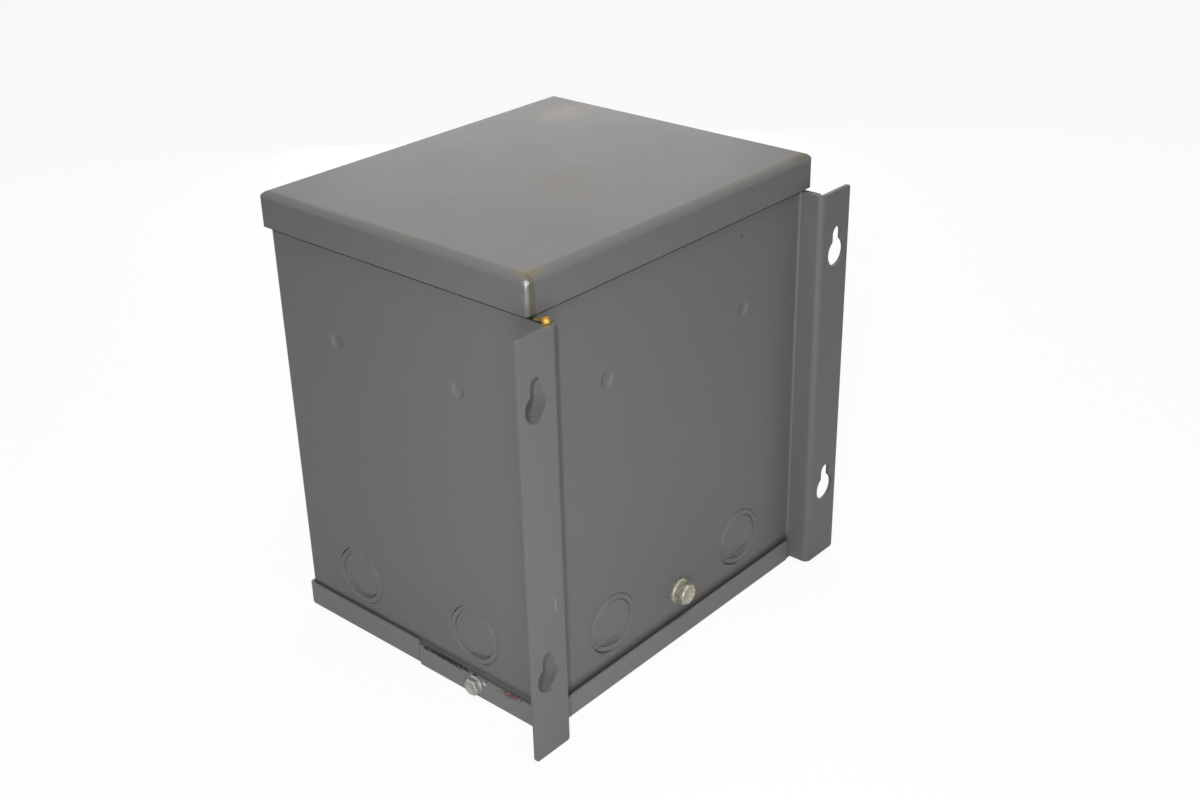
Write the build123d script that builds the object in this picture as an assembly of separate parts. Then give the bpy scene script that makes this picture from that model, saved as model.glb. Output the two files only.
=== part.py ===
from build123d import *
import math
import os

# A small single-phase transformer, potted in a folded steel case that hangs on a wall.
# Millimetres. +Z is up, +Y points at the wall, the front faces -Y, and +X is to the right
# of someone who looks at the front. The origin is on the underside of the rear tray, on
# which the part stands, under the middle of the whole part's box.

# Case
case_width = 177.4  # over the side walls
case_depth = 149.5  # front wall to back wall, outer faces
case_height = 208.2  # underside of the rear tray to the top of the lid
wall_sheet = 1.2
wall_bend = 0.4  # inside radius
wall_lap_gap = 0.3  # rear edge of a side wall to the start of the flange's bend

# Back panel, a hat section between the side walls: flange, web, back wall, web, flange
panel_sheet = 1.9
panel_bend = 1.2  # inside radius
web_depth = 12.3  # back wall's outer face to the wall side of the flanges
flange_reach = 18.4  # beyond the side wall
flange_corner = 1.2
flange_lid_gap = 1.0

# Keyholes in the flanges
keyhole_offset = 9.5  # side wall's outer face to the keyhole's middle
keyhole_upper_drop = 29.55  # below the top of the flanges
keyhole_lower_height = 40.0
keyhole_radius = 6.35
keyhole_slot_width = 6.6
keyhole_travel = 9.2  # centre of the round hole to the centre of the slot's round end

# Knockouts and dimples, two on each side wall and two on the back wall
knockout_inner_radius = 11.1
knockout_outer_radius = 14.1
knockout_raise = 0.3
side_knockout_height = 31.9
back_knockout_height = 32.4
side_pair_setback = 76.65  # back wall's outer face to the middle of a side wall's pair
side_pair_spacing = 72.9
back_pair_spacing = 90.2
dimple_radius = 4.0
dimple_depth = 1.3
dimple_drop = 43.15  # below the lid's skirt

# Lid
lid_sheet = 1.5
lid_gap = 0.9  # skirt to wall
lid_skirt = 15.85
lid_edge = 4.0  # outside radius of the bends along the top
lid_corner = 1.8  # outside radius of the welded upright corners

# Trays under the case
tray_sheet = 1.2
tray_gap = 0.3  # lip to wall
front_tray_lip = 12.6  # over the tray's own underside
rear_tray_lip = 11.6
tray_edge = 2.0  # outside bend radius
tray_joint_setback = 75.9  # back wall's outer face to the ends of the front tray's lips
tray_joint_gap = 0.5
tray_lap = 10.0  # rear tray's tongue under the front tray
tray_tongue_inset = 3.0
tray_web_gap = 1.4  # back lip's end to the web

# Hex washer head screws that hold the rear tray
screw_radius = 2.1
screw_hole_play = 0.05
screw_length = 9.5  # under the head
screw_across_flats = 6.35
screw_head_height = 2.8
screw_washer_radius = 4.4
screw_washer_height = 0.9
screw_setback = 40.0
screw_height = 7.1

# Ground bolt through the back wall
ground_height = 26.2
ground_radius = 3.15
ground_hole_play = 0.15
ground_length = 19.0  # under the head
ground_across_flats = 9.53
ground_head_height = 4.6
ground_washer_radius = 5.9
ground_washer_height = 1.2
tooth_washer_radius = 6.4
tooth_washer_root = 5.3
tooth_washer_sheet = 0.8
tooth_count = 12
ground_nut_across_flats = 11.1
ground_nut_height = 5.6

# Core of E and I laminations, 2.5 tongues high as scrapless ones are
tongue = 44.45
stack = 66.0
band_width = 19.0
band_sheet = 0.8
seal_length = 24.0
seal_sheet = 1.0

# Coil, from the tongue outwards
bobbin_play = 0.5
bobbin_wall = 1.5
bobbin_end_play = 0.4
bobbin_rim_play = 0.7
primary_build = 7.5
barrier_build = 0.6
secondary_build = 8.0
coil_wrap_build = 0.8

# Potting and the wiring compartment under it
compartment_height = 60.0  # underside of the rear tray to the potting
potting_over_core = 17.55
potting_under_core = 17.45
lead_end_height = 9.0
lead_spacing = 20.0
primary_lead_radius = 1.7
secondary_lead_radius = 2.2

# Bonding strap from the ground bolt to the core
strap_width = 12.0
strap_sheet = 1.0
strap_bend = 3.0  # inside radius
strap_tail = 8.0  # below the bolt
strap_band_gap = 1.0

# Hardened drop of potting resin on the right side wall's top edge, behind the lid
drop_radius = 2.3
drop_height = 4.6
drop_taper = 2.2  # height of the sloping band at its foot
drop_foot = 1.2  # radius at its foot
drop_inset = 0.7  # its middle to the side wall's outer face
drop_setback = 8.3  # behind the back wall's outer face


def corner_clearance(inside_radius, gap):
    """How far a square corner stays off a floor when the wall beside it is a gap away."""
    overlap = max(inside_radius - gap, 0)
    return inside_radius - math.sqrt(inside_radius**2 - overlap**2)


# Planes that the pieces share
front_reach = max(lid_gap + lid_sheet, tray_gap + tray_sheet)
flange_y = (front_reach + case_depth + web_depth) / 2
back_y = flange_y - web_depth
front_y = back_y - case_depth
middle_y = (front_y + back_y) / 2
side_x = case_width / 2
web_outer_x = side_x - wall_sheet
web_inner_x = web_outer_x - panel_sheet
lap_end_y = flange_y - panel_sheet - panel_bend - wall_lap_gap
wall_bottom = 2 * tray_sheet + corner_clearance(tray_edge - tray_sheet, tray_gap)
wall_top = case_height - lid_sheet - corner_clearance(lid_edge - lid_sheet, lid_gap)
skirt_bottom = case_height - lid_skirt
flange_top = skirt_bottom - flange_lid_gap
dimple_height = skirt_bottom - dimple_drop
keyhole_x = side_x + keyhole_offset
keyhole_upper_height = flange_top - keyhole_upper_drop
lip_x = side_x + tray_gap + tray_sheet
joint_y = back_y - tray_joint_setback
side_pair_y = [back_y - side_pair_setback + s * side_pair_spacing / 2 for s in (-1, 1)]
back_pair_x = [s * back_pair_spacing / 2 for s in (-1, 1)]

# Core and coil planes
core_x = 1.5 * tongue
core_bottom = compartment_height + potting_under_core
core_top = wall_top - potting_over_core
window_bottom = core_bottom + tongue / 2
window_top = core_top - tongue / 2
bobbin_bottom = window_bottom + bobbin_end_play
bobbin_top = window_top - bobbin_end_play
winding_bottom = bobbin_bottom + bobbin_wall
winding_top = bobbin_top - bobbin_wall
primary_inner = bobbin_play + bobbin_wall
barrier_inner = primary_inner + primary_build
secondary_inner = barrier_inner + barrier_build
wrap_inner = secondary_inner + secondary_build
lead_y = stack / 2 + barrier_inner


def save(shape, node):
    """Writes one named piece."""
    export_step(shape, f"parts/{node}.step")


def facing(x, y, z, direction):
    """A placement whose +Z is the given direction."""
    return Plane(origin=(x, y, z), z_dir=direction).location


def block(low, high):
    """A box between two corners."""
    sides = [h - l for l, h in zip(low, high)]
    middle = [(h + l) / 2 for l, h in zip(low, high)]
    return Pos(*middle) * Box(*sides)


def both_sides(shape):
    """The shape and its mirror image across the part's middle."""
    return [shape, mirror(shape, about=Plane.YZ)]


def folded_sheet(corners, sheet, inside_radius, low, high):
    """A sheet bent along upright lines: its middle plane runs through the corners in plan."""
    path = FilletPolyline(*corners, radius=inside_radius + sheet / 2)
    return Pos(0, 0, low) * extrude(trace(path, line_width=sheet), high - low)


def cut_behind_lid(sheet):
    """Cuts a sheet down to the top of the flanges where it runs on behind the back wall."""
    above = block(
        (-2 * case_width, back_y, flange_top), (2 * case_width, 2 * flange_y, 2 * case_height)
    )
    return sheet - above


def press_knockout(wall, place):
    """Raises the ring between the two shear lines of a concentric knockout."""
    return wall + place * disc(knockout_outer_radius, knockout_raise, knockout_inner_radius)


def press_dimple(wall, place, sheet):
    """Presses a rounded dimple inwards; its boss, which nothing shows, has flat sides."""
    radius = (dimple_radius**2 + dimple_depth**2) / (2 * dimple_depth)
    hollow = Pos(0, 0, radius - dimple_depth) * Sphere(radius)
    boss = Pos(0, 0, -sheet - dimple_depth) * extrude(RegularPolygon(dimple_radius, 12), dimple_depth)
    return wall + place * boss - place * hollow


def hex_prism(across_flats, height):
    """A hexagonal bar that stands on the XY plane."""
    return extrude(RegularPolygon(across_flats / 2, 6, major_radius=False), height)


def disc(radius, height, hole=0.0):
    """A round plate or washer that stands on the XY plane."""
    plan = Circle(radius) - Circle(hole) if hole else Circle(radius)
    return extrude(plan, height)


def washer_head_bolt(radius, length, across_flats, head, washer_radius, washer_height):
    """A hex washer head bolt: its head is above the XY plane and its shank below."""
    bearing = disc(washer_radius, washer_height)
    crown = Pos(0, 0, washer_height) * hex_prism(across_flats, head)
    shank = Pos(0, 0, -length) * disc(radius, length)
    return bearing + crown + shank


def wound_layer(inner, build):
    """A layer wound over the bobbin, its corners rounded about the bobbin's corners."""
    width = tongue + 2 * inner
    depth = stack + 2 * inner
    corner = inner - primary_inner
    hollow = RectangleRounded(width, depth, corner) if corner else Rectangle(width, depth)
    plan = RectangleRounded(width + 2 * build, depth + 2 * build, corner + build) - hollow
    return Pos(0, middle_y, winding_bottom) * extrude(plan, winding_top - winding_bottom)


def tongue_frame(reach, low, high):
    """A square-cornered frame that clears the tongue, out to the given distance from it."""
    plan = Rectangle(tongue + 2 * reach, stack + 2 * reach)
    plan -= Rectangle(tongue + 2 * bobbin_play, stack + 2 * bobbin_play)
    return Pos(0, middle_y, low) * extrude(plan, high - low)


def largest(shape):
    """The largest solid of a shape, without any chips that a cut left."""
    return max(shape.solids(), key=lambda solid: solid.volume)


def make_keyhole():
    """A round hole with a slot above it, as a cutter along +Y from the origin."""
    travel = keyhole_travel
    slot = SlotCenterToCenter(travel, keyhole_slot_width, rotation=90)
    plan = Circle(keyhole_radius) + Pos(0, travel / 2) * slot
    return extrude(Plane.XZ * plan, 2 * panel_sheet, both=True)


def make_back_panel():
    """The hat section with its keyholes, knockouts, dimples and ground hole."""
    half = panel_sheet / 2
    corners = [
        (-side_x - flange_reach, flange_y - half),
        (-web_outer_x + half, flange_y - half),
        (-web_outer_x + half, back_y - half),
        (web_outer_x - half, back_y - half),
        (web_outer_x - half, flange_y - half),
        (side_x + flange_reach, flange_y - half),
    ]
    panel = cut_behind_lid(folded_sheet(corners, panel_sheet, panel_bend, wall_bottom, wall_top))
    outer_x = side_x + flange_reach
    ends = panel.edges().filter_by(Axis.Y)
    ends = ends.filter_by(lambda edge: abs(edge.center().X) > outer_x - 0.1)
    panel = fillet(ends, flange_corner)
    keyhole = make_keyhole()
    for x in (-keyhole_x, keyhole_x):
        for z in (keyhole_lower_height, keyhole_upper_height):
            panel -= Pos(x, flange_y, z) * keyhole
    for x in back_pair_x:
        place = facing(x, back_y, back_knockout_height, (0, 1, 0))
        panel = press_knockout(panel, place)
        place = facing(x, back_y, dimple_height, (0, 1, 0))
        panel = press_dimple(panel, place, panel_sheet)
    hole = disc(ground_radius + ground_hole_play, 3 * panel_sheet)
    return panel - facing(0, back_y + panel_sheet, ground_height, (0, -1, 0)) * hole


def make_case_wrapper():
    """Front wall and side walls in one sheet; the side walls run on against the webs."""
    half = wall_sheet / 2
    corners = [
        (side_x - half, lap_end_y),
        (side_x - half, front_y + half),
        (-side_x + half, front_y + half),
        (-side_x + half, lap_end_y),
    ]
    wrapper = cut_behind_lid(folded_sheet(corners, wall_sheet, wall_bend, wall_bottom, wall_top))
    hole = disc(screw_radius + screw_hole_play, 3 * wall_sheet)
    for s in (-1, 1):
        for y in side_pair_y:
            place = facing(s * side_x, y, side_knockout_height, (s, 0, 0))
            wrapper = press_knockout(wrapper, place)
            place = facing(s * side_x, y, dimple_height, (s, 0, 0))
            wrapper = press_dimple(wrapper, place, wall_sheet)
        start = s * (side_x + wall_sheet)
        wrapper -= facing(start, back_y - screw_setback, screw_height, (-s, 0, 0)) * hole
    return wrapper


def tub(x, low_y, high_y, low_z, high_z, edge, corner=0.0):
    """A block with a radius along its lower edges, and one at its upright corners if given."""
    body = block((-x, low_y, low_z), (x, high_y, high_z))
    if corner:
        body = fillet(body.edges().filter_by(Axis.Z), corner)
    return fillet(body.edges().group_by(Axis.Z)[0], edge)


def make_lid():
    """A shallow cap: bends along its top, welded corners and an open underside."""
    x = side_x + lid_gap + lid_sheet
    low_y = front_y - lid_gap - lid_sheet
    high_y = back_y + lid_gap + lid_sheet
    outer = tub(x, low_y, high_y, -case_height, -skirt_bottom, lid_edge)
    upright = block((-x, low_y, -case_height), (x, high_y, -skirt_bottom))
    outer &= fillet(upright.edges().filter_by(Axis.Z), lid_corner)
    inner = tub(
        x - lid_sheet,
        low_y + lid_sheet,
        high_y - lid_sheet,
        lid_sheet - case_height,
        lid_sheet - skirt_bottom,
        lid_edge - lid_sheet,
    )
    return mirror(outer - inner, about=Plane.XY)


def tray_shell(low_y, high_y, low_z, lip):
    """An open tub of tray sheet with its lips outside the case's walls."""
    top = low_z + lip
    outer = tub(lip_x, low_y, high_y, low_z, top, tray_edge, tray_edge)
    inner = tub(
        lip_x - tray_sheet,
        low_y + tray_sheet,
        high_y - tray_sheet,
        low_z + tray_sheet,
        top + tray_sheet,
        tray_edge - tray_sheet,
    )
    return outer - inner


def make_front_tray():
    """Floor, front lip and side lips as far back as the joint."""
    reach_y = front_y - tray_gap - tray_sheet
    shell = tray_shell(reach_y, back_y, tray_sheet, front_tray_lip)
    keep = block((-2 * side_x, 2 * reach_y, 0), (2 * side_x, joint_y, case_height))
    return shell & keep


def make_rear_tray():
    """Floor with a tongue under the front tray, side lips, and a back lip between the webs."""
    reach_y = back_y + tray_gap + tray_sheet
    start_y = joint_y + tray_joint_gap
    shell = tray_shell(front_y, reach_y, 0, rear_tray_lip)
    keep = block((-2 * side_x, start_y, -1), (2 * side_x, 2 * reach_y, case_height))
    notch_x = web_inner_x - tray_web_gap
    notch = block((notch_x, back_y, -1), (2 * side_x, 2 * reach_y, case_height))
    tongue_x = side_x - tray_tongue_inset
    tongue_plate = block(
        (-tongue_x, joint_y - tray_lap, 0), (tongue_x, start_y + tray_sheet, tray_sheet)
    )
    tray = (shell & keep) - both_sides(notch) + tongue_plate
    hole = disc(screw_radius + screw_hole_play, 3 * tray_sheet)
    place = facing(lip_x + tray_sheet, back_y - screw_setback, screw_height, (-1, 0, 0))
    return tray - both_sides(place * hole)


def make_tray_screws():
    """One screw through each side lip into the wall."""
    screw = washer_head_bolt(
        screw_radius,
        screw_length,
        screw_across_flats,
        screw_head_height,
        screw_washer_radius,
        screw_washer_height,
    )
    place = facing(lip_x, back_y - screw_setback, screw_height, (1, 0, 0))
    return Compound(children=both_sides(place * screw))


def make_tooth_washer():
    """An external tooth washer under the ground bolt's head."""
    step = math.pi / tooth_count
    points = []
    for i in range(2 * tooth_count):
        reach = tooth_washer_root if i % 2 else tooth_washer_radius
        points.append((reach * math.cos(i * step), reach * math.sin(i * step)))
    plan = make_face(Polyline(*points, close=True)) - Circle(ground_radius + ground_hole_play)
    return facing(0, back_y, ground_height, (0, 1, 0)) * extrude(plan, tooth_washer_sheet)


def make_ground_bolt():
    """The bolt, with its head behind the back wall and its end in the compartment."""
    bolt = washer_head_bolt(
        ground_radius,
        ground_length,
        ground_across_flats,
        ground_head_height,
        ground_washer_radius,
        ground_washer_height,
    )
    return facing(0, back_y + tooth_washer_sheet, ground_height, (0, 1, 0)) * bolt


def make_ground_strap():
    """A strap from the ground bolt up the back wall and along the underside of the core."""
    half = strap_sheet / 2
    wall_y = back_y - panel_sheet - half
    corners = [
        (wall_y, ground_height - strap_tail),
        (wall_y, core_bottom - half),
        (middle_y + band_width / 2 + strap_band_gap, core_bottom - half),
    ]
    path = FilletPolyline(*corners, radius=strap_bend + half)
    strap = extrude(Plane.YZ * trace(path, line_width=strap_sheet), strap_width / 2, both=True)
    hole = disc(ground_radius + ground_hole_play, 4 * strap_sheet)
    return strap - facing(0, wall_y + 2 * strap_sheet, ground_height, (0, -1, 0)) * hole


def make_ground_nut():
    """The nut that clamps the strap to the back wall."""
    plan = RegularPolygon(ground_nut_across_flats / 2, 6, major_radius=False)
    seat_y = back_y - panel_sheet - strap_sheet
    nut = extrude(plan - Circle(ground_radius), ground_nut_height)
    return facing(0, seat_y, ground_height, (0, -1, 0)) * nut


def core_plate(low, high):
    """A block of the lamination stack between two corners in X and Z."""
    low_corner = (low[0], middle_y - stack / 2, low[1])
    high_corner = (high[0], middle_y + stack / 2, high[1])
    return block(low_corner, high_corner)


def make_e_core():
    """The E laminations: a yoke below, the tongue and two outer legs."""
    core = core_plate((-core_x, core_bottom), (core_x, window_top))
    window = core_plate((tongue / 2, window_bottom), (tongue, window_top + tongue))
    return core - both_sides(window)


def make_i_core():
    """The I laminations, across the ends of the legs."""
    return core_plate((-core_x, window_top), (core_x, core_top))


def make_core_band():
    """The steel band that is drawn round the core and holds the I's down on the E's."""
    width = 2 * core_x
    height = core_top - core_bottom
    outline = Rectangle(width + 2 * band_sheet, height + 2 * band_sheet)
    plan = Plane.XZ * (outline - Rectangle(width, height))
    ring = extrude(plan, band_width / 2, both=True)
    return Pos(0, middle_y, (core_bottom + core_top) / 2) * ring


def make_band_seal():
    """The crimped seal over the ends of the band, on top of the core."""
    top = core_top + band_sheet
    half = band_width / 2
    cover = block(
        (-seal_length / 2, middle_y - half - seal_sheet, core_top),
        (seal_length / 2, middle_y + half + seal_sheet, top + seal_sheet),
    )
    under = block((-seal_length, middle_y - half, 0), (seal_length, middle_y + half, top))
    return cover - under


def make_bobbin():
    """The former round the tongue, with a rim at each end."""
    rim = tongue / 2 - bobbin_rim_play
    sleeve = tongue_frame(bobbin_play + bobbin_wall, bobbin_bottom, bobbin_top)
    lower = tongue_frame(rim, bobbin_bottom, winding_bottom)
    upper = tongue_frame(rim, winding_top, bobbin_top)
    return sleeve + lower + upper


def make_lead(index, side, radius):
    """One lead, from under the bobbin's rim through the potting into the compartment."""
    x = (index - 1.5) * lead_spacing
    place = Pos(x, middle_y + side * lead_y, lead_end_height)
    return place * disc(radius, bobbin_bottom - lead_end_height)


def make_resin_drop(back_panel, case_wrapper):
    """A drop that sits astride the side wall's top edge, between the lid and the flange."""
    profile = Polyline(
        (0, -drop_height / 2),
        (drop_foot, -drop_height / 2),
        (drop_radius, drop_taper - drop_height / 2),
        (drop_radius, drop_height / 2),
        (0, drop_height / 2),
        close=True,
    )
    bead = revolve(Plane.XZ * make_face(profile), Axis.Z)
    place = Pos(side_x - drop_inset, back_y + drop_setback, flange_top)
    return largest(place * bead - back_panel - case_wrapper)


def make_potting(inner_pieces, back_panel, case_wrapper):
    """The resin that fills the case from the lid down, round everything inside."""
    fill = block(
        (wall_sheet / 2 - side_x, front_y + wall_sheet / 2, compartment_height),
        (side_x - wall_sheet / 2, back_y, wall_top),
    )
    return largest(fill - case_wrapper - back_panel - inner_pieces)


os.makedirs("parts", exist_ok=True)

back_panel = make_back_panel()
case_wrapper = make_case_wrapper()
lid = make_lid()
pieces = {
    "back_panel": back_panel,
    "case_wrapper": case_wrapper,
    "lid": lid,
    "front_tray": make_front_tray(),
    "rear_tray": make_rear_tray(),
    "tray_screws": make_tray_screws(),
    "ground_bolt": make_ground_bolt(),
    "ground_tooth_washer": make_tooth_washer(),
    "ground_nut": make_ground_nut(),
    "resin_drop": make_resin_drop(back_panel, case_wrapper),
}

potted = {
    "e_core": make_e_core(),
    "i_core": make_i_core(),
    "core_band": make_core_band(),
    "band_seal": make_band_seal(),
    "ground_strap": make_ground_strap(),
    "bobbin": make_bobbin(),
}
layers = {
    "primary_winding": (primary_inner, primary_build),
    "winding_barrier": (barrier_inner, barrier_build),
    "secondary_winding": (secondary_inner, secondary_build),
    "coil_wrap": (wrap_inner, coil_wrap_build),
}
for layer, (inner, build) in layers.items():
    potted[layer] = wound_layer(inner, build)
lead_kinds = {"primary": (-1, primary_lead_radius), "secondary": (1, secondary_lead_radius)}
for kind, (side, radius) in lead_kinds.items():
    for index in range(4):
        potted[f"{kind}_lead_{index + 1}"] = make_lead(index, side, radius)

pieces.update(potted)
pieces["potting_compound"] = make_potting(list(potted.values()), back_panel, case_wrapper)

for node, shape in pieces.items():
    save(shape, node)
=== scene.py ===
import math

import bpy
from mathutils import Matrix, Vector


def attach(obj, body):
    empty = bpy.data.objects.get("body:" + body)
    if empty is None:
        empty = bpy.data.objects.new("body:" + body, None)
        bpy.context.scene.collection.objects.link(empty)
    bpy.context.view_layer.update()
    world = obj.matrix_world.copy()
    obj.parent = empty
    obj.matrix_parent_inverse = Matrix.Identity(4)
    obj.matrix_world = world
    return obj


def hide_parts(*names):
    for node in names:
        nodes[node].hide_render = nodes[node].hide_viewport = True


# A small potted transformer in a folded steel case, seen from its wall side.
# Metres, in the part's own frame: +Z is up, +Y points at the wall, and +X is the near side.

mm = 0.001
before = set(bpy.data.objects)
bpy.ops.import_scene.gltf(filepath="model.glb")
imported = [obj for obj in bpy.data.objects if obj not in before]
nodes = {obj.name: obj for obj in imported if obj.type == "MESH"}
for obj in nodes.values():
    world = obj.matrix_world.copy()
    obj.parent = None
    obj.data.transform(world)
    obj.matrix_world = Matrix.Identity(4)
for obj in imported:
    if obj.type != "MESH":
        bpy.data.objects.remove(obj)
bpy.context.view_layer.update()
print("frame loaded, nodes:", len(nodes))


# Colours and shader nodes

def fromHex(code):
    channels = [int(code[i:i + 2], 16) / 255 for i in (1, 3, 5)]
    return [c / 12.92 if c <= 0.04045 else ((c + 0.055) / 1.055) ** 2.4 for c in channels] + [1.0]


def addNode(tree, kind, values=None, links=None, **settings):
    node = tree.nodes.new(kind)
    for name, value in settings.items():
        setattr(node, name, value)
    for socket, value in (values or {}).items():
        node.inputs[socket].default_value = value
    for socket, source in (links or {}).items():
        tree.links.new(source, node.inputs[socket])
    return node


def newMaterial(name):
    material = bpy.data.materials.new(name)
    material.use_nodes = True
    material.node_tree.nodes.clear()
    return material, material.node_tree


def finishMaterial(tree, shader):
    addNode(tree, "ShaderNodeOutputMaterial", links={"Surface": shader.outputs[0]})


def putOn(piece, material):
    piece.data.materials.clear()
    piece.data.materials.append(material)


noiseSpan = {"From Min": 0.3, "From Max": 0.7}  # what noise mostly stays between


def speckle(tree, place, size, detail=3, roughness=0.55):
    # Noise whose blobs are about size millimetres across.
    return addNode(
        tree, "ShaderNodeTexNoise",
        values={"Scale": 1000 / size, "Detail": detail, "Roughness": roughness},
        links={"Vector": place},
    ).outputs["Fac"]


def patch(tree, place, mark):
    # 1 inside an uneven patch, falling to 0 at its edge. Centre and reach are in millimetres.
    shifted = addNode(
        tree, "ShaderNodeMapping", vector_type="TEXTURE",
        values={
            "Location": [v * mm for v in mark["at"]],
            "Rotation": [math.radians(a) for a in mark.get("turn", (0, 0, 0))],
            "Scale": [v * mm for v in mark["reach"]],
        },
        links={"Vector": place},
    )
    distance = addNode(
        tree, "ShaderNodeVectorMath", operation="LENGTH", links={0: shifted.outputs[0]}
    )
    ragged = addNode(
        tree, "ShaderNodeMath", operation="MULTIPLY_ADD",
        values={1: mark.get("ragged", 0.6)},
        links={0: speckle(tree, place, mark.get("grain", 3)), 2: distance.outputs["Value"]},
    )
    edge = 1 + mark.get("ragged", 0.6) / 2
    return addNode(
        tree, "ShaderNodeMapRange", interpolation_type="SMOOTHSTEP",
        values={
            "From Min": edge,
            "From Max": edge - mark.get("soft", 0.5),
            "To Min": 0.0,
            "To Max": mark.get("strength", 1.0),
        },
        links={"Value": ragged.outputs[0]},
    ).outputs[0]


def blendColour(tree, share, under, over):
    # The colour under, with the hex colour over laid on it by the share.
    return addNode(
        tree, "ShaderNodeMix", data_type="RGBA",
        values={"B": fromHex(over)},
        links={"Factor": share, "A": under},
    ).outputs["Result"]


# Enamel

enamel = {
    "grey": "#7C7F82",
    "greyWorn": "#777A7C",  # where handling has dulled it
    "trayGrey": "#898C8F",  # the trays are from a paler batch
    "roughness": 0.36,
    "glossier": 0.03,  # how far the roughness falls and rises from patch to patch
    "duller": 0.05,
    "glossSize": 30,  # mm across one such patch
    "cloudSize": 90,  # mm across one soft patch of tone
    "peelSize": 1.6,  # mm across one dimple of the sprayed film, drawn coarse enough to show
    "peelHeight": 0.05,  # mm
    "peelStrength": 0.12,
    "nibSize": 0.9,  # mm across one speck of dust in the film
    "nibColour": "#5D5F60",
    "nibShare": 0.35,
    "nibStart": 0.735,  # the noise above this is a speck
    "nibFull": 0.78,
}


def bakedEnamel(name, marks=(), grey=None):
    # Polyester enamel, sprayed and baked on steel: satin, a little uneven, with fine orange peel.
    # The marks are varnish, rust, dirt, chips and scratches that lie on it, and painted shadow, shade,
    # highlights and reflection.
    material, tree = newMaterial(name)
    place = addNode(tree, "ShaderNodeTexCoord").outputs["Object"]
    tone = addNode(
        tree, "ShaderNodeMix", data_type="RGBA",
        values={"A": fromHex(grey or enamel["grey"]), "B": fromHex(grey or enamel["greyWorn"])},
        links={"Factor": speckle(tree, place, enamel["cloudSize"], detail=4, roughness=0.6)},
    ).outputs["Result"]
    nibs = addNode(
        tree, "ShaderNodeMapRange",
        values={
            "From Min": enamel["nibStart"], "From Max": enamel["nibFull"], "To Max": enamel["nibShare"],
        },
        links={"Value": speckle(tree, place, enamel["nibSize"], detail=1, roughness=0.4)},
    )
    tone = blendColour(tree, nibs.outputs[0], tone, enamel["nibColour"])
    gloss = addNode(
        tree, "ShaderNodeMapRange",
        values={
            **noiseSpan,
            "To Min": enamel["roughness"] - enamel["glossier"],
            "To Max": enamel["roughness"] + enamel["duller"],
        },
        links={"Value": speckle(tree, place, enamel["glossSize"], detail=4, roughness=0.6)},
    ).outputs[0]
    height = speckle(tree, place, enamel["peelSize"], detail=2, roughness=0.5)
    for mark in marks:
        share = patch(tree, place, mark)
        tone = blendColour(tree, share, tone, mark["colour"])
        if "gloss" in mark:
            gloss = addNode(
                tree, "ShaderNodeMix", data_type="FLOAT",
                values={"B": mark["gloss"]},
                links={"Factor": share, "A": gloss},
            ).outputs["Result"]
        if "rise" in mark:
            height = addNode(
                tree, "ShaderNodeMath", operation="MULTIPLY_ADD",
                values={1: mark["rise"]}, links={0: share, 2: height},
            ).outputs[0]
    relief = addNode(
        tree, "ShaderNodeBump",
        values={"Strength": enamel["peelStrength"], "Distance": enamel["peelHeight"] * mm},
        links={"Height": height},
    )
    shader = addNode(
        tree, "ShaderNodeBsdfPrincipled",
        values={"IOR": 1.5},
        links={"Base Color": tone, "Roughness": gloss, "Normal": relief.outputs["Normal"]},
    )
    finishMaterial(tree, shader)
    return material


# Working on meshes

nearness = {  # mm
    "face": 0.02,  # off the face, or outside the circle, and still counted as on it
    "rim": 0.03,
    "raised": 0.6,  # no mark in the CAD stands higher
    "merged": 0.002,
}
meshAngle = {  # degrees
    "flat": 0.4,  # faces that differ by less become one
    "sharp": 50,  # edges that are sharper get broken
    "smooth": 38,  # edges that are blunter are shaded smooth
}


def pickOnly(piece):
    bpy.ops.object.select_all(action="DESELECT")
    piece.select_set(True)
    bpy.context.view_layer.objects.active = piece


def edit(piece, kind="VERT"):
    pickOnly(piece)
    bpy.ops.object.mode_set(mode="EDIT")
    bpy.ops.mesh.select_mode(type=kind)
    bpy.ops.mesh.select_all(action="DESELECT")


def leaveEdit():
    bpy.ops.object.mode_set(mode="OBJECT")


def select(piece, kind, wanted):
    # Selects the vertices or faces that the test wants, and goes back to edit mode.
    leaveEdit()
    items = piece.data.vertices if kind == "VERT" else piece.data.polygons
    for item in items:
        item.select = bool(wanted(item))
    bpy.ops.object.mode_set(mode="EDIT")


def standFor(piece, nodeName):
    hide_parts(nodeName)
    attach(piece, "root")


def copySheet(nodeName, name):
    # The node's own shape as a clean mesh, with its flat faces in one piece each.
    piece = bpy.data.objects.new(name, nodes[nodeName].data.copy())
    bpy.context.collection.objects.link(piece)
    pickOnly(piece)
    bpy.ops.mesh.customdata_custom_splitnormals_clear()
    edit(piece)
    bpy.ops.mesh.select_all(action="SELECT")
    bpy.ops.mesh.remove_doubles(threshold=nearness["merged"] * mm)
    bpy.ops.mesh.dissolve_limited(angle_limit=math.radians(meshAngle["flat"]))
    leaveEdit()
    return piece


def openRound(piece, centre, axis, radius, deep):
    # Deletes what the CAD shows inside a round mark on the face that looks along the axis.
    edit(piece, "FACE")
    along = Vector(axis)
    middle = Vector(centre)
    mesh = piece.data

    def inside(face):
        for index in face.vertices:
            offset = mesh.vertices[index].co - middle
            height = offset.dot(along)
            away = (offset - height * along).length
            if not -deep < height < nearness["raised"] * mm or away > radius + nearness["face"] * mm:
                return False
        return True

    select(piece, "FACE", inside)
    bpy.ops.mesh.delete(type="FACE")
    leaveEdit()


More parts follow.
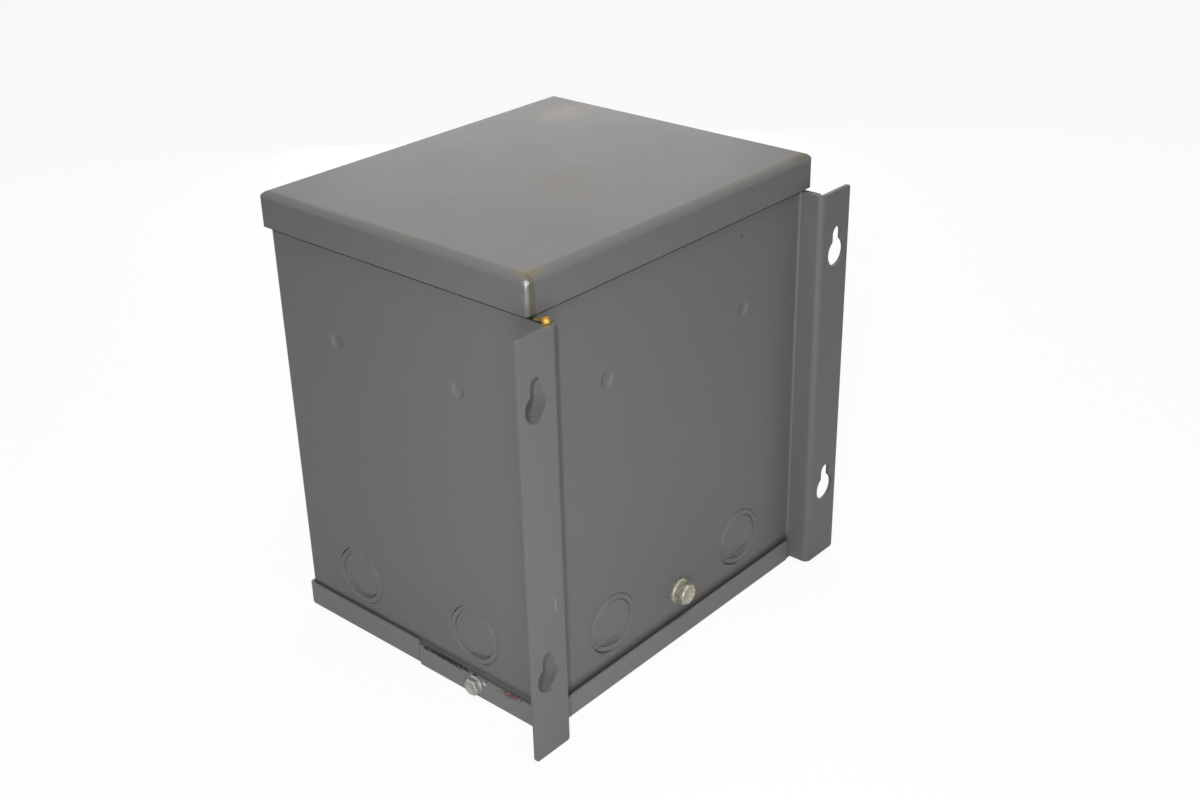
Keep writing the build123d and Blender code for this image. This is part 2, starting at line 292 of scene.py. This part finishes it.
def pressRound(piece, centre, axis, radius, profile, slits=()):
    # Carries the open rim inwards, loop by loop, along a profile of (radius, height) in mm.
    along = Vector(axis)
    middle = Vector(centre)
    up = Vector((0, 0, 1))
    right = up.cross(along)
    edit(piece)
    mesh = piece.data

    def onRim(vertex):
        offset = vertex.co - middle
        height = offset.dot(along)
        away = (offset - height * along).length
        return abs(height) < nearness["face"] * mm and abs(away - radius) < nearness["rim"] * mm

    select(piece, "VERT", onRim)
    now, level = radius, 0.0
    for step, (nextRadius, nextLevel) in enumerate(profile):
        bpy.ops.mesh.extrude_edges_move(
            TRANSFORM_OT_translate={"value": along * (nextLevel * mm - level)}
        )
        scale = nextRadius * mm / now
        stretch = [scale if abs(a) < 0.5 else 1.0 for a in axis]
        bpy.ops.transform.resize(value=stretch, center_override=middle + along * (nextLevel * mm))
        now, level = nextRadius * mm, nextLevel * mm
        for slit in slits:
            if slit["step"] != step:
                continue
            leaveEdit()
            for vertex in mesh.vertices:
                if not vertex.select:
                    continue
                offset = vertex.co - middle
                angle = math.degrees(math.atan2(offset.dot(right), offset.dot(up))) % 360
                away = abs((angle - slit["clock"] * 30 + 180) % 360 - 180)
                if away < slit["spread"]:
                    share = math.cos(away / slit["spread"] * math.pi / 2)
                    vertex.co -= along * slit["deep"] * mm * share
            bpy.ops.object.mode_set(mode="EDIT")
    bpy.ops.mesh.edge_face_add()
    leaveEdit()


brokenEdge = {"sheet": 0.22, "lid": 0.3, "roundness": 0.6}  # widths in mm


def roundEdges(piece, width):
    # Breaks the sheet's sheared edges, which the enamel rounds.
    edit(piece, "EDGE")
    bpy.ops.mesh.edges_select_sharp(sharpness=math.radians(meshAngle["sharp"]))
    bpy.ops.mesh.bevel(
        offset=width * mm, segments=2, profile=brokenEdge["roundness"], clamp_overlap=False
    )
    leaveEdit()


def smoothShade(piece, angle=meshAngle["smooth"]):
    edit(piece)
    bpy.ops.mesh.select_all(action="SELECT")
    bpy.ops.mesh.normals_make_consistent(inside=False)
    leaveEdit()
    bpy.ops.object.shade_smooth_by_angle(angle=math.radians(angle))
    evened = piece.modifiers.new("evened", "WEIGHTED_NORMAL")
    evened.keep_sharp = True
    evened.weight = 100
    bpy.ops.object.modifier_apply(modifier=evened.name)


# Knockouts and dimples, at the places that the CAD gives them, in mm

pressed = {
    "knockoutRadius": 14.1,
    "knockoutDeep": 0.2,
    "dimpleRadius": 4.0,
    "dimpleDeep": 1.5,
    "sideX": 88.7,
    "backY": 69.8,
    "sideY": (-43.3, 29.6),
    "backX": (-45.1, 45.1),
    "sideKnockoutZ": 31.9,
    "backKnockoutZ": 32.4,
    "dimpleZ": 149.2,
}
# The ring stands proud between two narrow sheared grooves. Each pair is radius and height.
knockoutProfile = [
    (14.02, -0.3), (13.9, -0.3), (13.82, 0.12), (13.62, 0.42), (13.36, 0.52), (13.1, 0.42),
    (12.8, 0.28), (12.2, 0.28), (11.95, 0.38), (11.7, 0.50), (11.5, 0.38), (11.42, 0.05),
    (11.38, -0.3), (11.26, -0.3), (11.18, -0.02), (10.98, 0.16), (10.7, 0.22), (10.3, 0.12),
    (9.9, 0.05),
]
dimpleProfile = [
    (3.86, -0.03), (3.6, -0.16), (3.3, -0.44), (2.9, -0.82), (2.4, -1.1), (1.8, -1.24),
    (1.2, -1.28), (0.6, -1.28),
]


def slitPair(outer, outerSpread, inner, innerSpread):
    # Where the punch has sheared the sheet open, by the clock, in the outer and the inner groove.
    # The steps count along knockoutProfile, spreads are in degrees to each side.
    deep = 0.9
    outerSteps = [{"step": step, "clock": outer, "spread": outerSpread, "deep": deep} for step in (0, 1)]
    innerSteps = [{"step": step, "clock": inner, "spread": innerSpread, "deep": deep} for step in (12, 13)]
    return outerSteps + innerSteps


def dressSheet(piece, knockouts, dimples, slits):
    for centre, axis in knockouts:
        openRound(piece, centre, axis, pressed["knockoutRadius"] * mm, pressed["knockoutDeep"] * mm)
    for centre, axis in dimples:
        openRound(piece, centre, axis, pressed["dimpleRadius"] * mm, pressed["dimpleDeep"] * mm)
    roundEdges(piece, brokenEdge["sheet"])
    for centre, axis in knockouts:
        pressRound(piece, centre, axis, pressed["knockoutRadius"] * mm, knockoutProfile, slits)
    for centre, axis in dimples:
        pressRound(piece, centre, axis, pressed["dimpleRadius"] * mm, dimpleProfile)
    smoothShade(piece)


# Case wrapper: the side walls and the front

wrapper = copySheet("case_wrapper", "caseWrapper")
knockouts = []
dimples = []
for side in (-1, 1):
    for y in pressed["sideY"]:
        spot = Vector((side * pressed["sideX"], y, 0)) * mm
        knockouts.append((spot + Vector((0, 0, pressed["sideKnockoutZ"] * mm)), (side, 0, 0)))
        dimples.append((spot + Vector((0, 0, pressed["dimpleZ"] * mm)), (side, 0, 0)))
dressSheet(wrapper, knockouts, dimples, slitPair(outer=11.5, outerSpread=60, inner=5.6, innerSpread=40))
standFor(wrapper, "case_wrapper")
print("case wrapper done, faces:", len(wrapper.data.polygons))


# Back panel: the hat section with its keyhole flanges

backPanel = copySheet("back_panel", "backPanel")
knockouts = []
dimples = []
for x in pressed["backX"]:
    spot = Vector((x, pressed["backY"], 0)) * mm
    knockouts.append((spot + Vector((0, 0, pressed["backKnockoutZ"] * mm)), (0, 1, 0)))
    dimples.append((spot + Vector((0, 0, pressed["dimpleZ"] * mm)), (0, 1, 0)))
dressSheet(backPanel, knockouts, dimples, slitPair(outer=7.5, outerSpread=55, inner=6.5, innerSpread=40))
standFor(backPanel, "back_panel")
print("back panel done, faces:", len(backPanel.data.polygons))


# Lid and trays

def foldedPiece(nodeName, name, edge):
    piece = copySheet(nodeName, name)
    roundEdges(piece, edge)
    smoothShade(piece)
    standFor(piece, nodeName)
    return piece


lid = foldedPiece("lid", "lidCap", brokenEdge["lid"])
frontTray = foldedPiece("front_tray", "frontTray", brokenEdge["sheet"])
rearTray = foldedPiece("rear_tray", "rearTray", brokenEdge["sheet"])
print("lid and trays done")


# Bolt and screws: hex washer heads, upset and trimmed, with a dished top

headMesh = {
    "facets": 48,
    "smooth": 32,  # degrees
    "hexOver": 1.0001,  # the hex's size, as a share of acrossFlats
}


def makeHead(name, size, spots):
    # Built upright on the origin, loop by loop from the end of the shank, then set on each spot.
    # Each loop is radius and height: the shank, the washer, the hex and the dished top. A spot is
    # its place in mm, the way the head looks and its spin in radians.
    flat = size["acrossFlats"] / 2
    hexFlat = flat * headMesh["hexOver"]
    seat = size["washerHeight"]
    top = seat + size["headHeight"]
    rim = size["washerRadius"]
    loops = [
        (size["shankRadius"], -size["shankLength"]), (size["shankRadius"], -0.01), (rim - 0.3, 0.0),
        (rim, 0.12), (rim, seat * 0.55), (rim - 0.35, seat * 0.8), (flat * 1.13, seat),
        (hexFlat, seat + 0.05), (hexFlat, top - 0.75), (flat * 0.99, top - 0.4),
        (flat * 0.93, top - 0.06), (flat * 0.84, top), (flat * 0.74, top - 0.14),
        (flat * 0.45, top - size["dish"]), (flat * 0.12, top - size["dish"] * 1.15),
    ]
    hexLevels = (seat + 0.04, top - 0.7)
    heads = []
    for place, axis, spin in spots:
        startRadius, startLevel = loops[0]
        bpy.ops.mesh.primitive_circle_add(
            vertices=headMesh["facets"], radius=startRadius * mm, fill_type="NGON",
            location=(0, 0, startLevel * mm),
        )
        head = bpy.context.object
        head.name = name
        bpy.ops.object.transform_apply(location=True)
        edit(head, "FACE")
        bpy.ops.mesh.select_all(action="SELECT")
        radius, level = startRadius, startLevel
        for nextRadius, nextLevel in loops[1:]:
            bpy.ops.mesh.extrude_region_move(
                TRANSFORM_OT_translate={"value": (0, 0, (nextLevel - level) * mm)}
            )
            bpy.ops.transform.resize(
                value=[nextRadius / radius] * 2 + [1.0], center_override=(0, 0, nextLevel * mm)
            )
            radius, level = nextRadius, nextLevel
        leaveEdit()
        for vertex in head.data.vertices:
            if hexLevels[0] * mm < vertex.co.z < hexLevels[1] * mm:
                angle = math.atan2(vertex.co.y, vertex.co.x)
                offset = (angle + math.pi / 6) % (math.pi / 3) - math.pi / 6
                vertex.co.x /= math.cos(offset)
                vertex.co.y /= math.cos(offset)
        smoothShade(head, headMesh["smooth"])
        turned = Vector(axis).to_track_quat("Z", "Y").to_matrix().to_4x4()
        head.data.transform(Matrix.Translation(Vector(place) * mm) @ turned @ Matrix.Rotation(spin, 4, "Z"))
        heads.append(head)
    pickOnly(heads[0])
    for head in heads[1:]:
        head.select_set(True)
    if len(heads) > 1:
        bpy.ops.object.join()
    heads[0].name = name
    return heads[0]


groundBoltSize = {
    "shankRadius": 3.1,
    "shankLength": 19.0,
    "acrossFlats": 9.53,
    "headHeight": 4.6,
    "washerRadius": 5.9,
    "washerHeight": 1.2,
    "dish": 0.9,
}
groundBolt = makeHead("groundBolt", groundBoltSize, [((0, 70.6, 26.2), (0, 1, 0), 0.2)])
standFor(groundBolt, "ground_bolt")
# The CAD's hex is 6.35 mm across its flats. This one is drawn larger, with the same washer.
traySize = {
    "shankRadius": 2.05,
    "shankLength": 9.5,
    "acrossFlats": 7.3,
    "headHeight": 2.8,
    "washerRadius": 4.4,
    "washerHeight": 0.9,
    "dish": 0.7,
}
trayScrews = makeHead(
    "trayScrews", traySize, [((90.2, 29.8, 7.1), (1, 0, 0), 0.5), ((-90.2, 29.8, 7.1), (-1, 0, 0), 0.1)]
)
standFor(trayScrews, "tray_screws")
print("bolt and screws done")


# Resin drop and the trail that it left along the top edge of the wall

resinDrop = {
    "blobs": [  # centre and radii, mm
        ((88.0, 78.6, 192.3), (1.9, 1.9, 1.7)),
        ((88.8, 78.7, 191.0), (1.0, 1.2, 1.6)),
        ((87.9, 76.6, 191.7), (0.9, 1.5, 0.45)),
        ((88.3, 74.2, 191.6), (0.75, 1.9, 0.35)),
    ],
    "grain": 0.16,  # mm, side of a voxel
    "easing": 0.6,
    "passes": 6,
}
blobs = []
for centre, radii in resinDrop["blobs"]:
    bpy.ops.mesh.primitive_uv_sphere_add(
        segments=32, ring_count=16, location=[v * mm for v in centre], scale=[r * mm for r in radii]
    )
    blobs.append(bpy.context.object)
drop = blobs[0]
pickOnly(drop)
for blob in blobs[1:]:
    blob.select_set(True)
bpy.ops.object.join()
bpy.ops.object.transform_apply(location=True, rotation=True, scale=True)
drop.name = "resinDrop"
melted = drop.modifiers.new("melted", "REMESH")
melted.mode = "VOXEL"
melted.voxel_size = resinDrop["grain"] * mm
bpy.ops.object.modifier_apply(modifier=melted.name)
eased = drop.modifiers.new("eased", "SMOOTH")
eased.factor = resinDrop["easing"]
eased.iterations = resinDrop["passes"]
bpy.ops.object.modifier_apply(modifier=eased.name)
bpy.ops.object.shade_smooth()
standFor(drop, "resin_drop")
print("resin drop done, faces:", len(drop.data.polygons))


# Other finishes

finishes = {
    # Zinc plate, bright chromated: pale grey metal, dulled and a little cloudy.
    "zincPlate": {
        "dark": "#8E918C", "light": "#FAFBF6", "size": 1.6, "metal": 0.8, "rough": 0.28, "bump": 0.18,
    },
    # Zinc plate dyed green for an earth point: the dye is worn and has gone yellowish.
    "dyedZincPlate": {
        "dark": "#6F7348", "light": "#FFFFF0", "size": 1.5, "metal": 0.65, "rough": 0.26, "bump": 0.16,
    },
    # Silicon steel laminations, varnished: dark, with the fine lines of the stack.
    "varnishedCoreSteel": {
        "dark": "#3C3B3A", "light": "#57544F", "size": 2, "metal": 0.6, "rough": 0.45, "bump": 0.05,
    },
    # Cold rolled strapping: plain grey steel with faint oil stains.
    "coldRolledStrap": {
        "dark": "#6B6C6E", "light": "#8D8F92", "size": 6, "metal": 1.0, "rough": 0.38, "bump": 0.02,
    },
    # Enamelled magnet wire and tinned strap: warm copper under clear varnish.
    "varnishedCopper": {
        "dark": "#9A5A38", "light": "#C77E52", "size": 3, "metal": 0.9, "rough": 0.35, "bump": 0.04,
    },
    # Nylon 66, moulded: creamy, half matt, slightly mottled.
    "mouldedNylon": {
        "dark": "#D3CBB2", "light": "#E4DDC8", "size": 12, "metal": 0.0, "rough": 0.5, "bump": 0.02,
    },
    # Varnished kraft paper: tan, fibrous, with a dull sheen.
    "varnishedPaper": {
        "dark": "#A88F62", "light": "#CBB284", "size": 1.5, "metal": 0.0, "rough": 0.6, "bump": 0.08,
    },
    # Polyester resin filled with quartz sand: near black and gritty.
    "sandFilledResin": {
        "dark": "#24211E", "light": "#4A4640", "size": 1.2, "metal": 0.0, "rough": 0.7, "bump": 0.2,
    },
    # Black PVC, extruded: smooth, with a soft sheen.
    "blackLeadInsulation": {
        "dark": "#101010", "light": "#1C1C1C", "size": 8, "metal": 0.0, "rough": 0.42, "bump": 0.01,
    },
    # Yellow PVC, extruded: smooth, with a soft sheen.
    "yellowLeadInsulation": {
        "dark": "#B39420", "light": "#C6A82C", "size": 8, "metal": 0.0, "rough": 0.42, "bump": 0.01,
    },
}


mottling = {"glossier": 0.05, "duller": 0.08, "strength": 0.5, "grainShare": 0.25}


def mottled(name):
    values = finishes[name]
    material, tree = newMaterial(name)
    place = addNode(tree, "ShaderNodeTexCoord").outputs["Object"]
    mottle = speckle(tree, place, values["size"], detail=4, roughness=0.6)
    tone = addNode(
        tree, "ShaderNodeMix", data_type="RGBA",
        values={"A": fromHex(values["dark"]), "B": fromHex(values["light"])},
        links={"Factor": mottle},
    ).outputs["Result"]
    gloss = addNode(
        tree, "ShaderNodeMapRange",
        values={
            **noiseSpan,
            "To Min": values["rough"] - mottling["glossier"],
            "To Max": values["rough"] + mottling["duller"],
        },
        links={"Value": mottle},
    ).outputs[0]
    relief = addNode(
        tree, "ShaderNodeBump",
        values={"Strength": mottling["strength"], "Distance": values["bump"] * mm},
        links={"Height": speckle(tree, place, values["size"] * mottling["grainShare"])},
    )
    shader = addNode(
        tree, "ShaderNodeBsdfPrincipled",
        values={"Metallic": values["metal"]},
        links={"Base Color": tone, "Roughness": gloss, "Normal": relief.outputs["Normal"]},
    )
    finishMaterial(tree, shader)
    return material


amber = {
    "trailDark": "#6E5A1C",
    "trailLight": "#A08830",
    "cloudSize": 1.2,  # mm
    "bead": "#C4900F",
    "glow": "#FFE468",  # where the light comes through the bead
    "roughness": 0.05,
    "refraction": 1.54,
    "scattered": 0.2,  # share of the light that scatters inside
    "scatterReach": 1,  # mm
    "beadMark": {"at": (88.3, 78.7, 192.2), "reach": (2.4, 1.9, 2.6), "ragged": 0.4, "grain": 1.2},
    "glowMark": {"at": (88.9, 79.6, 192.4), "reach": (1.5, 1.3, 1.3), "ragged": 0.9, "grain": 0.9},
}


def hardResin(name):
    # Unsaturated polyester resin, run out and set: clear amber, wet-looking, darker where thin.
    material, tree = newMaterial(name)
    place = addNode(tree, "ShaderNodeTexCoord").outputs["Object"]
    tone = addNode(
        tree, "ShaderNodeMix", data_type="RGBA",
        values={"A": fromHex(amber["trailDark"]), "B": fromHex(amber["trailLight"])},
        links={"Factor": speckle(tree, place, amber["cloudSize"], detail=2)},
    ).outputs["Result"]
    tone = blendColour(tree, patch(tree, place, amber["beadMark"]), tone, amber["bead"])
    tone = blendColour(tree, patch(tree, place, amber["glowMark"]), tone, amber["glow"])
    shader = addNode(
        tree, "ShaderNodeBsdfPrincipled",
        values={
            "Roughness": amber["roughness"], "IOR": amber["refraction"],
            "Subsurface Weight": amber["scattered"], "Subsurface Scale": amber["scatterReach"] * mm,
        },
        links={"Base Color": tone},
    )
    finishMaterial(tree, shader)
    return material


# Marks on the enamel, stains and painted light, in millimetres

stainsAndPaintedLight = {
    # Film left glossier where the knockouts' rings stretched the sheet
    "stretchedFilm": {"colour": enamel["grey"], "gloss": 0.24, "ragged": 0.1, "soft": 0.1},
    # Painted shadow, a dark line on the wall where the lid's skirt shades it
    "paintedSkirtShadow": {"colour": "#0C0C0C", "ragged": 0.1, "soft": 0.4, "strength": 0.95},
    # Painted shade on the wall above the lips of the trays, darkest next to each lip
    "paintedLipShade": {"colour": "#2E2F30", "ragged": 0.2, "soft": 0.9},
    "paintedDeepLipShade": {"colour": "#232426", "ragged": 0.2, "soft": 1.0, "strength": 0.75},
    # Speck on the back wall
    "speck": {"colour": "#27282A", "ragged": 0.3},
    # Light scratch and rub on the near flange
    "scratch": {"colour": "#B2B4B6", "ragged": 0.5, "strength": 0.55},
    # Yellowish varnish, run down the corner and smeared over the top edge
    "varnishRun": {"colour": "#6D6949", "gloss": 0.2, "ragged": 0.3, "soft": 0.4, "strength": 0.75},
    "varnishSmear": {"colour": "#868058", "gloss": 0.25, "ragged": 0.9, "soft": 0.8, "strength": 0.55},
    "varnishStain": {"colour": "#6A6852", "ragged": 1.1, "soft": 0.6, "strength": 0.6},
    # Clear varnish, thick enough on the corner to shine, its colour lightened as a painted highlight down
    # the corner, with a painted glint near its top
    "clearVarnish": {"colour": "#8A8D90", "gloss": 0.1, "ragged": 0.3, "soft": 0.5, "strength": 0.9},
    "paintedCornerGlint": {"colour": "#DCDFE2", "gloss": 0.06, "ragged": 4.0, "grain": 0.7, "soft": 0.3},
    # Painted reflection, a pale patch near the far corner of the top, and a faint smudge of the top
    "paintedTopReflection": {"colour": "#AAA5A0", "ragged": 0.9, "grain": 8, "soft": 1.2, "strength": 0.42},
    "smudge": {"colour": "#6F6E6C", "ragged": 1.6, "grain": 9, "soft": 0.5, "strength": 0.22},
    # Enamel chipped off along the lip's top edge, down to dark steel
    "chip": {
        "colour": "#262523", "ragged": 4.5, "grain": 2.0, "soft": 0.15, "rise": -14, "strength": 0.9,
    },
    # Rust where the edge is bare
    "rust": {
        "colour": "#6E3C1C", "gloss": 0.7, "ragged": 6.0, "grain": 1.1, "soft": 0.4, "rise": 4,
        "strength": 0.85,
    },
    # Chalky smear beside the screw
    "chalk": {"colour": "#E3E3DF", "ragged": 0.8, "grain": 1, "soft": 0.3, "strength": 0.8},
}
wide = 900  # further than the case reaches
skirtSeam = 191.4
ringReach = 14.4


# A mark is a real stain, or painted shadow, shade, highlight or reflection.
def stainOrPaintedLightAt(kind, at, reach, **more):
    return {**stainsAndPaintedLight[kind], "at": at, "reach": reach, **more}


sideMarks = [
    stainOrPaintedLightAt("stretchedFilm", (pressed["sideX"], y, pressed["sideKnockoutZ"]), (4, ringReach, ringReach))
    for y in pressed["sideY"]
]
sideMarks += [
    # Painted shadow under the lid's skirt
    stainOrPaintedLightAt("paintedSkirtShadow", (0, 0, skirtSeam), (wide, wide, 1.1)),
    # Painted shade above the trays' side lips
    stainOrPaintedLightAt("paintedLipShade", (0, -45, 14.2), (wide, 400, 2.6), strength=0.6),
    stainOrPaintedLightAt("paintedLipShade", (0, 35, 11.2), (wide, 400, 1.5), strength=0.3),
]
backMarks = [
    stainOrPaintedLightAt("stretchedFilm", (x, pressed["backY"], pressed["backKnockoutZ"]), (ringReach, 4, ringReach))
    for x in reversed(pressed["backX"])
]
backMarks += [
    # Painted shadow under the lid's skirt
    stainOrPaintedLightAt("paintedSkirtShadow", (0, pressed["backY"], skirtSeam), (wide, 1.2, 1.1)),
    # Painted shade above the trays' back lip
    stainOrPaintedLightAt("paintedDeepLipShade", (0, pressed["backY"], 12.4), (wide, 1.5, 5.2)),
    stainOrPaintedLightAt("speck", (-43.2, pressed["backY"], 183.2), (0.7, 0.8, 0.9)),
    stainOrPaintedLightAt("scratch", (92.7, 82.1, 72.4), (0.4, 0.8, 5.6), turn=(0, 7, 0)),
]
lidMarks = [
    stainOrPaintedLightAt("varnishRun", (88.1, 72.2, 196.0), (2.0, 5, 34)),
    # Glossier varnish with a painted highlight down the lid's corner, and a painted glint at its top
    stainOrPaintedLightAt("clearVarnish", (90.6, 71.8, 200.0), (1.6, 1.6, 12)),
    stainOrPaintedLightAt("paintedCornerGlint", (90.4, 71.6, 205.8), (1.1, 1.1, 1.4)),
    stainOrPaintedLightAt("varnishSmear", (84.5, 68.5, 208.0), (8.5, 5.0, 2.5), turn=(0, 0, -35)),
    stainOrPaintedLightAt("varnishStain", (-84, 69.8, 207.5), (8, 3.2, 3)),
    # Painted reflection near the far corner of the top
    stainOrPaintedLightAt("paintedTopReflection", (-68, -55, 208.2), (24, 14, 2)),
    stainOrPaintedLightAt("smudge", (5, 15, 208.2), (30, 20, 2), turn=(0, 0, 40)),
]
rearTrayMarks = [
    stainOrPaintedLightAt("chip", (90.2, 11, 11.9), (3, 18, 1.0)),
    stainOrPaintedLightAt("rust", (90.2, 51, 10.9), (3, 5.6, 1.2), turn=(6, 0, 0)),
    stainOrPaintedLightAt("chalk", (90.2, 35.2, 9.6), (2, 1.3, 1.0)),
]
greyEnamel = bakedEnamel("bakedGreyEnamel")
for node in nodes.values():
    putOn(node, greyEnamel)
putOn(frontTray, bakedEnamel("bakedGreyEnamelFrontTray", (), enamel["trayGrey"]))
putOn(wrapper, bakedEnamel("bakedGreyEnamelSides", sideMarks))
putOn(backPanel, bakedEnamel("bakedGreyEnamelBack", backMarks))
putOn(lid, bakedEnamel("bakedGreyEnamelLid", lidMarks))
putOn(rearTray, bakedEnamel("bakedGreyEnamelRearTray", rearTrayMarks, enamel["trayGrey"]))
zincPlate = mottled("zincPlate")
putOn(trayScrews, zincPlate)
putOn(groundBolt, mottled("dyedZincPlate"))
putOn(drop, hardResin("hardAmberResin"))
hiddenFinish = {
    "varnishedCoreSteel": ["e_core", "i_core"],
    "coldRolledStrap": ["core_band", "band_seal"],
    "varnishedCopper": ["primary_winding", "secondary_winding", "ground_strap"],
    "mouldedNylon": ["bobbin"],
    "varnishedPaper": ["winding_barrier", "coil_wrap"],
    "sandFilledResin": ["potting_compound"],
    "blackLeadInsulation": ["primary_lead_1", "primary_lead_2", "primary_lead_3", "primary_lead_4"],
    "yellowLeadInsulation": [
        "secondary_lead_1", "secondary_lead_2", "secondary_lead_3", "secondary_lead_4",
    ],
}
for finish, covered in hiddenFinish.items():
    material = mottled(finish)
    for nodeName in covered:
        putOn(nodes[nodeName], material)
for nodeName in ("ground_tooth_washer", "ground_nut", "tray_screws", "ground_bolt"):
    putOn(nodes[nodeName], zincPlate)
print("materials done")


# Camera, light and floor

cameraView = {
    "place": (0.46294, 0.43829, 0.42314),
    "turn": (63.072, 1.205, 131.118),  # degrees
    "lens": 46.955,
    "sensor": 36,
    "clipStart": 0.01,
}
bpy.ops.object.camera_add(
    location=cameraView["place"], rotation=[math.radians(a) for a in cameraView["turn"]]
)
camera = bpy.context.object
camera.data.lens = cameraView["lens"]
camera.data.sensor_width = cameraView["sensor"]
camera.data.clip_start = cameraView["clipStart"]
bpy.context.scene.camera = camera

studio = {
    "ambient": 0.032,  # how much light the white room gives
    "mirrored": 0.8,  # how bright the white room is in reflections
    "floorSize": 8,
    "floorGrey": "#F0F0F0",
    "floorWhite": 0.88,  # share of pure white that the camera sees in the floor
    "floorGlow": 1.05,  # how bright that white is
    "aim": (0, 0, 0.1),
}
# The enamel mirrors the white room, and not the lamps that are marked as unseen in it. The flash
# would otherwise leave a hot spot on the lid.
lamps = {
    "ceilingLight": {
        "place": (0.0, 0.1, 1.3), "size": 1.2, "power": 9.8, "colour": "#FFECDB", "seen": False,
    },
    "lowLight": {
        "place": (0.34, 0.34, 0.10), "size": 0.15, "power": 0.36, "colour": "#F2F6FF", "seen": True,
    },
    "flashLight": {
        "place": (0.4835, 0.4042, 0.4597), "size": 0.015, "power": 1.6, "colour": "#F8F9FA",
        "seen": False,
    },
    "frontLight": {
        "place": (-0.5, -0.5, 0.14), "size": 0.4, "power": 1.2, "colour": "#FFFFFF", "seen": True,
    },
}
for name, values in lamps.items():
    direction = Vector(studio["aim"]) - Vector(values["place"])
    bpy.ops.object.light_add(type="AREA", location=values["place"])
    lamp = bpy.context.object
    lamp.name = name
    lamp.rotation_euler = direction.to_track_quat("-Z", "Y").to_euler()
    lamp.visible_glossy = values["seen"]
    lamp.data.shape = "SQUARE"
    lamp.data.size = values["size"]
    lamp.data.energy = values["power"]
    lamp.data.color = fromHex(values["colour"])[:3]

world = bpy.data.worlds.new("studioWorld")
bpy.context.scene.world = world
world.use_nodes = True
sky = world.node_tree
sky.nodes.clear()
rays = addNode(sky, "ShaderNodeLightPath")
mirrored = addNode(
    sky, "ShaderNodeMath", operation="MULTIPLY",
    values={1: studio["mirrored"]}, links={0: rays.outputs["Is Glossy Ray"]},
)
seen = addNode(
    sky, "ShaderNodeMath", operation="MAXIMUM",
    links={0: rays.outputs["Is Camera Ray"], 1: mirrored.outputs[0]},
)
strength = addNode(
    sky, "ShaderNodeMapRange",
    values={"To Min": studio["ambient"], "To Max": 1.0},
    links={"Value": seen.outputs[0]},
)
glow = addNode(
    sky, "ShaderNodeBackground",
    values={"Color": fromHex("#FFFFFF")}, links={"Strength": strength.outputs[0]},
)
addNode(sky, "ShaderNodeOutputWorld", links={"Surface": glow.outputs[0]})

bpy.ops.mesh.primitive_plane_add(size=studio["floorSize"], location=(0, 0, 0))
floor = bpy.context.object
floor.name = "studioFloor"
floorMaterial, tree = newMaterial("paleFloor")
rays = addNode(tree, "ShaderNodeLightPath")
matt = addNode(tree, "ShaderNodeBsdfDiffuse", values={"Color": fromHex(studio["floorGrey"])})
white = addNode(tree, "ShaderNodeEmission", values={"Strength": studio["floorGlow"]})
share = addNode(
    tree, "ShaderNodeMath", operation="MULTIPLY",
    values={1: studio["floorWhite"]}, links={0: rays.outputs["Is Camera Ray"]},
)
cover = addNode(
    tree, "ShaderNodeMixShader",
    links={0: share.outputs[0], 1: matt.outputs[0], 2: white.outputs[0]},
)
finishMaterial(tree, cover)
putOn(floor, floorMaterial)

bpy.context.scene.view_settings.view_transform = "Standard"
print("camera, light and floor done")
